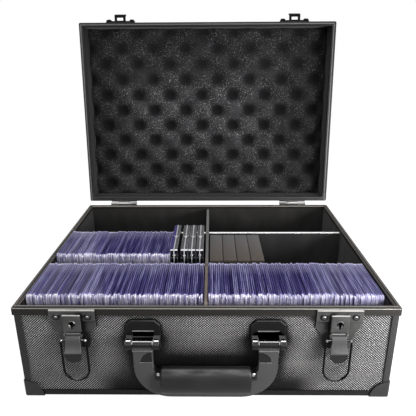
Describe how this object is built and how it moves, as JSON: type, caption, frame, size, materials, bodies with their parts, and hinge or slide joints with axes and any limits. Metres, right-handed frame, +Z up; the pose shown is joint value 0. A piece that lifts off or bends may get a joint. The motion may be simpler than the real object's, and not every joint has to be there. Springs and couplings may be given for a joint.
{
  "type": "storage case",
  "caption": "Hinged black carrying case for rigid card holders, with a foam-lined lid, divided bays, draw latches with locks and a swinging front handle, shown open and part filled.",
  "frame": {"origin": "middle of the base's footprint, on the surface that the case stands on", "axes": "+Z up, +Y towards the hinges at the back, +X to the right seen from the latches"},
  "size_m": [0.42, 0.4009, 0.4388],
  "materials": {
    "panel": "fine diamond-embossed laminate, satin",
    "rim": "satin black anodised section",
    "trim": "satin black angle trim",
    "cap": "satin black pressed cap",
    "pad_foam": "soft closed-cell pad",
    "lining": "short-nap brownish grey lining",
    "lid_foam": "open-cell charcoal foam, speckled",
    "divider": "fibreboard wrapped in short-nap cloth",
    "clear_violet": "clear rigid plastic, bluish violet where stacked",
    "clear_case": "thick clear acrylic",
    "spacer_foam": "dense brown-grey foam",
    "hardware": "black plated pressed steel, worn bright on edges",
    "bright_metal": "smoked nickel plate",
    "handle": "dark grey moulded, semi-gloss",
    "grip": "soft moulded rubber"
  },
  "bodies": {
    "base": {"base_bottom_panel": "panel", "base_front_panel": "panel", "base_back_panel": "panel", "base_left_panel": "panel", "base_right_panel": "panel", "base_rim": "rim", "base_edge_frame": "trim", "base_corner_cap_front_left": "cap", "base_corner_cap_front_right": "cap", "base_corner_cap_back_left": "cap", "base_corner_cap_back_right": "cap", "base_floor_pad": "pad_foam", "base_liner": "lining", "hinge_base_leaf_left": "hardware", "hinge_base_leaf_right": "hardware", "hinge_pin_left": "bright_metal", "hinge_pin_right": "bright_metal", "latch_plate_left": "hardware", "latch_plate_right": "hardware", "lock_box_left": "hardware", "lock_box_right": "hardware", "handle_bracket_left": "hardware", "handle_bracket_right": "hardware", "handle_pin_left": "bright_metal", "handle_pin_right": "bright_metal"},
    "lid": {"lid_top_panel": "panel", "lid_wall_frame": "panel", "lid_rim": "rim", "lid_edge_frame": "trim", "lid_corner_cap_front_left": "cap", "lid_corner_cap_front_right": "cap", "lid_corner_cap_back_left": "cap", "lid_corner_cap_back_right": "cap", "lid_foam": "lid_foam", "hinge_lid_leaf_left": "hardware", "hinge_lid_leaf_right": "hardware", "latch_keeper_left": "hardware", "latch_keeper_right": "hardware"},
    "handle": {"handle_frame": "handle", "handle_grip": "grip"},
    "long_divider": {"divider_long": "divider"},
    "front_cross_divider": {"divider_cross_front": "divider"},
    "rear_cross_divider": {"divider_cross_rear": "divider"},
    "latch_lever_left": {"latch_lever_left": "hardware"},
    "latch_bail_left": {"latch_bail_left": "bright_metal"},
    "lock_barrel_left": {"lock_barrel_left": "bright_metal"},
    "latch_lever_right": {"latch_lever_right": "hardware"},
    "latch_bail_right": {"latch_bail_right": "bright_metal"},
    "lock_barrel_right": {"lock_barrel_right": "bright_metal"},
    "row_front_left": {"toploader_row_front_left": "clear_violet"},
    "row_front_right": {"toploader_row_front_right": "clear_violet"},
    "row_middle_left": {"toploader_row_middle_left": "clear_violet"},
    "case_1": {"magnetic_case_1": "clear_case"},
    "case_2": {"magnetic_case_2": "clear_case"},
    "case_3": {"magnetic_case_3": "clear_case"},
    "case_4": {"magnetic_case_4": "clear_case"},
    "spacer_1": {"foam_spacer_1": "spacer_foam"},
    "spacer_2": {"foam_spacer_2": "spacer_foam"},
    "spacer_3": {"foam_spacer_3": "spacer_foam"},
    "spacer_4": {"foam_spacer_4": "spacer_foam"}
  },
  "joints": [
    {"name": "lid_hinge", "type": "hinge", "parent": "base", "child": "lid", "pos_m": [0, 0.15629, 0.11915], "axis": [-1, 0, 0], "range_deg": [-95, 0]},
    {"name": "handle_swing", "type": "hinge", "parent": "base", "child": "handle", "pos_m": [0, -0.1564, 0.0785], "axis": [-1, 0, 0], "range_deg": [0, 92]},
    {"name": "latch_lever_left_swing", "type": "hinge", "parent": "base", "child": "latch_lever_left", "pos_m": [-0.14367, -0.15399, 0.0878], "axis": [-1, 0, 0], "range_deg": [0, 95]},
    {"name": "latch_bail_left_swing", "type": "hinge", "parent": "latch_lever_left", "child": "latch_bail_left", "pos_m": [-0.14367, -0.15649, 0.0829], "axis": [1, 0, 0], "range_deg": [-180, 0]},
    {"name": "lock_barrel_left_turn", "type": "hinge", "parent": "base", "child": "lock_barrel_left", "pos_m": [-0.14367, -0.1503, 0.10295], "axis": [0, 1, 0], "range_deg": [0, 90]},
    {"name": "latch_lever_right_swing", "type": "hinge", "parent": "base", "child": "latch_lever_right", "pos_m": [0.14367, -0.15399, 0.0878], "axis": [-1, 0, 0], "range_deg": [0, 95]},
    {"name": "latch_bail_right_swing", "type": "hinge", "parent": "latch_lever_right", "child": "latch_bail_right", "pos_m": [0.14367, -0.15649, 0.0829], "axis": [1, 0, 0], "range_deg": [-180, 0]},
    {"name": "lock_barrel_right_turn", "type": "hinge", "parent": "base", "child": "lock_barrel_right", "pos_m": [0.14367, -0.1503, 0.10295], "axis": [0, 1, 0], "range_deg": [0, 90]},
    {"name": "long_divider_lift", "type": "slide", "parent": "base", "child": "long_divider", "axis": [0, 0, 1], "range_m": [0, 0.1]},
    {"name": "front_cross_divider_lift", "type": "slide", "parent": "long_divider", "child": "front_cross_divider", "axis": [0, 0, 1], "range_m": [0, 0.1]},
    {"name": "rear_cross_divider_lift", "type": "slide", "parent": "long_divider", "child": "rear_cross_divider", "axis": [0, 0, 1], "range_m": [0, 0.1]},
    {"name": "row_front_left_lift", "type": "slide", "parent": "base", "child": "row_front_left", "axis": [0, 0, 1], "range_m": [0, 0.1]},
    {"name": "row_front_right_lift", "type": "slide", "parent": "base", "child": "row_front_right", "axis": [0, 0, 1], "range_m": [0, 0.1]},
    {"name": "row_middle_left_lift", "type": "slide", "parent": "base", "child": "row_middle_left", "axis": [0, 0, 1], "range_m": [0, 0.1]},
    {"name": "case_1_lift", "type": "slide", "parent": "base", "child": "case_1", "axis": [0, 0, 1], "range_m": [0, 0.1]},
    {"name": "case_2_lift", "type": "slide", "parent": "base", "child": "case_2", "axis": [0, 0, 1], "range_m": [0, 0.1]},
    {"name": "case_3_lift", "type": "slide", "parent": "base", "child": "case_3", "axis": [0, 0, 1], "range_m": [0, 0.1]},
    {"name": "case_4_lift", "type": "slide", "parent": "base", "child": "case_4", "axis": [0, 0, 1], "range_m": [0, 0.1]},
    {"name": "spacer_1_lift", "type": "slide", "parent": "base", "child": "spacer_1", "axis": [0, 0, 1], "range_m": [0, 0.1]},
    {"name": "spacer_2_lift", "type": "slide", "parent": "base", "child": "spacer_2", "axis": [0, 0, 1], "range_m": [0, 0.1]},
    {"name": "spacer_3_lift", "type": "slide", "parent": "base", "child": "spacer_3", "axis": [0, 0, 1], "range_m": [0, 0.1]},
    {"name": "spacer_4_lift", "type": "slide", "parent": "base", "child": "spacer_4", "axis": [0, 0, 1], "range_m": [0, 0.1]}
  ]
}
